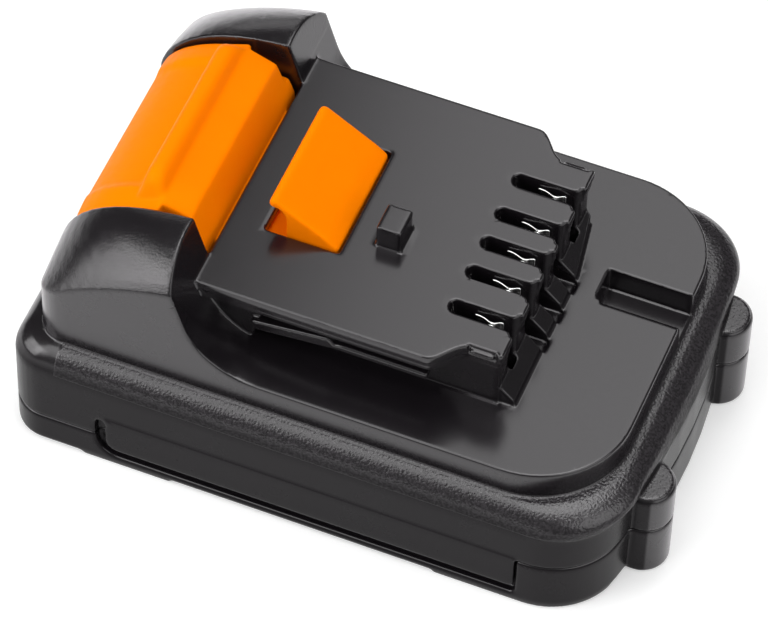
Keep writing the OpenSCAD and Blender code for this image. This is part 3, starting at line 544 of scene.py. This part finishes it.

# %% [markdown]
# Colour and roughness of the case
#
# Black plastic is never one even black. A wide soft noise moves the colour and the roughness a little, as the
# flow of the melt does. The grain of the shoulder is painted a lighter grey, as painted sheen, and its tips
# are
# painted lighter than its valleys: painted highlight on the tips and painted shade in the valleys.

# %% Colour and roughness of the case
CASE_DARK = (0.0050, 0.0043, 0.0050, 1)
CASE_LIGHT = (0.0080, 0.0070, 0.0080, 1)
GRAIN_DARK = (0.0060, 0.0054, 0.0060, 1)
# painted sheen: the light colour of the grain stands in for light that its rough surface scatters
GRAIN_PAINTED_SHEEN = (0.0220, 0.0204, 0.0220, 1)
SHEEN_ON_TIPS = (0.35, 0.7)
FLOW = 6 * MM
NOISE_SPAN = (0.3, 0.7)
SATIN = (0.25, 0.28)
PLATE_POLISH = -0.08
CROWN_POLISH = -0.05
GRAIN_DULL = 0.16

cloud = noise(tree, place, FLOW, detail=3.0, roughness=0.6)
smooth_colour = blend_colours(tree, cloud, CASE_DARK, CASE_LIGHT)
# painted sheen on the shoulder: painted highlight on the grain's tips and painted shade in its valleys
grain_with_painted_sheen = blend_colours(tree, ramp(tree, coarse, *SHEEN_ON_TIPS), GRAIN_DARK, GRAIN_PAINTED_SHEEN)
plug(tree, blend_colours(tree, shoulder, smooth_colour, grain_with_painted_sheen), sockets["Base Color"])

roughness = ramp(tree, cloud, *NOISE_SPAN, *SATIN)
for mask, change in ((plate, PLATE_POLISH), (crown, CROWN_POLISH), (shoulder, GRAIN_DULL)):
    roughness = maths(tree, "ADD", roughness, maths(tree, "MULTIPLY", mask, change))
plug(tree, roughness, sockets["Roughness"])

for piece in (case_top, case_base):
    piece.data.materials.append(case_black)
print("case finish has", len(tree.nodes), "nodes")

# %% [markdown]
# The orange plastic of the latch
#
# The latch is dyed right through and nearly matt, so that a thumb doesn't slip on it. A soft noise makes the
# dye a little deeper in places, and a very fine relief breaks up what is left of the gloss.

# %% Latch finish
ORANGE = (1.0, 0.228, 0.0, 1)
ORANGE_DEEP = (1.0, 0.208, 0.0, 1)
ORANGE_GLOSS = (1.0, 0.7, 0.12, 1)
DYE_CLOUD = 4 * MM
WEAR_CLOUD = 1.2 * MM
MATT = (0.40, 0.50)
MATT_GRAIN = 0.25 * MM
MATT_DEPTH = 0.004 * MM

latch_orange, tree, sockets = new_finish("latch_orange")
sockets["Specular IOR Level"].default_value = 0.05
sockets["Specular Tint"].default_value = ORANGE_GLOSS
place = place_on_piece(tree)
plug(tree, blend_colours(tree, noise(tree, place, DYE_CLOUD), ORANGE_DEEP, ORANGE), sockets["Base Color"])
plug(tree, ramp(tree, noise(tree, place, WEAR_CLOUD), *NOISE_SPAN, *MATT), sockets["Roughness"])
plug(tree, relief(tree, noise(tree, place, MATT_GRAIN), MATT_DEPTH), sockets["Normal"])
latch.data.materials.append(latch_orange)
print("latch finish has", len(tree.nodes), "nodes")

# %% [markdown]
# Metal and the pieces inside
#
# The contact clips are bright plated metal and show through the slots. The rest is hidden by the case, but
# each piece still has the finish of its own material: drawn spring wire, blackened screws, sleeved cells,
# nickel strips, fibre paper, grey holders and a green board.

# %% Finishes of the inner pieces
def inner_finish(name, dark, light, rough, grain, metallic=0.0, stretch=(1, 1, 1), depth=0.01, coat=0.0):
    """A finish whose spots choose between two colours and two roughnesses, with grain and depth in mm."""
    finish, tree, sockets = new_finish(name, metallic, coat)
    mapping = add(tree, "ShaderNodeMapping")
    plug(tree, place_on_piece(tree), mapping.inputs["Vector"])
    mapping.inputs["Scale"].default_value = stretch
    spots = noise(tree, mapping.outputs[0], grain * MM, detail=3.0)
    plug(tree, blend_colours(tree, spots, (*dark, 1), (*light, 1)), sockets["Base Color"])
    plug(tree, ramp(tree, spots, *NOISE_SPAN, *rough), sockets["Roughness"])
    plug(tree, relief(tree, spots, depth * MM), sockets["Normal"])
    return finish


INNER = {
    "contact_bright": inner_finish(
        "contact_bright", (0.80, 0.80, 0.79), (0.92, 0.92, 0.91), (0.12, 0.22), 0.8,
        metallic=1.0, stretch=(1, 1, 6), depth=0.004),
    "spring_steel": inner_finish(
        "spring_steel", (0.45, 0.46, 0.48), (0.62, 0.63, 0.65), (0.22, 0.34), 0.3,
        metallic=1.0, stretch=(4, 4, 1), depth=0.004),
    "screw_steel": inner_finish(
        "screw_steel", (0.10, 0.10, 0.11), (0.20, 0.20, 0.21), (0.30, 0.42), 0.4, metallic=1.0),
    "cell_sleeve": inner_finish(
        "cell_sleeve", (0.09, 0.24, 0.36), (0.13, 0.32, 0.45), (0.22, 0.32), 2.5,
        stretch=(0.3, 1, 1), coat=0.2),
    "nickel": inner_finish(
        "nickel", (0.58, 0.58, 0.55), (0.74, 0.74, 0.71), (0.28, 0.42), 0.5,
        metallic=1.0, stretch=(1, 0.2, 1), depth=0.004),
    "fibre": inner_finish(
        "fibre", (0.62, 0.58, 0.47), (0.80, 0.77, 0.68), (0.70, 0.90), 0.3, depth=0.03),
    "holder_grey": inner_finish(
        "holder_grey", (0.10, 0.11, 0.12), (0.14, 0.15, 0.16), (0.45, 0.60), 0.6),
    "board_green": inner_finish(
        "board_green", (0.012, 0.14, 0.04), (0.025, 0.22, 0.07), (0.22, 0.34), 0.9, coat=0.3),
    "component_black": inner_finish(
        "component_black", (0.018, 0.018, 0.02), (0.04, 0.04, 0.042), (0.45, 0.62), 0.35),
}

for piece in clips:
    piece.data.materials.append(INNER["contact_bright"])
for part in frame["record"]["subparts"]:
    finish = INNER.get(part["material_slot"])
    if finish:
        mesh = nodes[part["node"]].data
        mesh.materials.clear()
        mesh.materials.append(finish)
print("inner finishes:", len(INNER))

# %% [markdown]
# The latch springs
#
# Two coil springs stand on the rear cell holder and push the latch up. A spring rests on the case at its
# foot and presses the latch at its head. It is wound here as round wire with a closed turn at each end,
# and rides with the case.

# %% Springs
WIRE = 0.8 * MM
TURNS = 6.5
STEPS_PER_TURN = 32
WIRE_SIDES = 10


def wound_wire(name, foot, head):
    """Round wire, wound between two corners of a box, with a closed turn at each end."""
    steps = round(TURNS * STEPS_PER_TURN)
    turn = np.linspace(0, TURNS, steps + 1)[:, None]
    rise = head[2] - foot[2] - WIRE
    middle = np.interp(turn, (0, 1, TURNS - 1, TURNS), (0, WIRE, rise - WIRE, rise)) + foot[2] + WIRE / 2
    round_wire = np.linspace(0, 2 * math.pi, WIRE_SIDES, endpoint=False)[None, :]
    radius = (head[0] - foot[0] - WIRE) / 2 + WIRE / 2 * np.cos(round_wire)
    angle = 2 * math.pi * turn
    points = np.stack([
        (foot[0] + head[0]) / 2 + radius * np.cos(angle),
        (foot[1] + head[1]) / 2 + radius * np.sin(angle),
        middle + WIRE / 2 * np.sin(round_wire)], axis=-1).reshape(-1, 3)
    ring = range(WIRE_SIDES)
    faces = [
        (k + j, k + WIRE_SIDES + j, k + WIRE_SIDES + (j + 1) % WIRE_SIDES, k + (j + 1) % WIRE_SIDES)
        for k in range(0, steps * WIRE_SIDES, WIRE_SIDES) for j in ring]
    faces += [tuple(ring), tuple(steps * WIRE_SIDES + j for j in reversed(ring))]
    mesh = bpy.data.meshes.new(name)
    mesh.from_pydata(points, [], faces)
    mesh.shade_smooth()
    return mesh


for side in ("left", "right"):
    node = "latch_spring_" + side
    foot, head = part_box(node)
    coil = bpy.data.objects.new("coil_" + side, wound_wire("coil_" + side, foot, head))
    coil.data.materials.append(INNER["spring_steel"])
    scene.collection.objects.link(coil)
    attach(coil, "housing")
    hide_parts(node)
    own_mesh(coil)
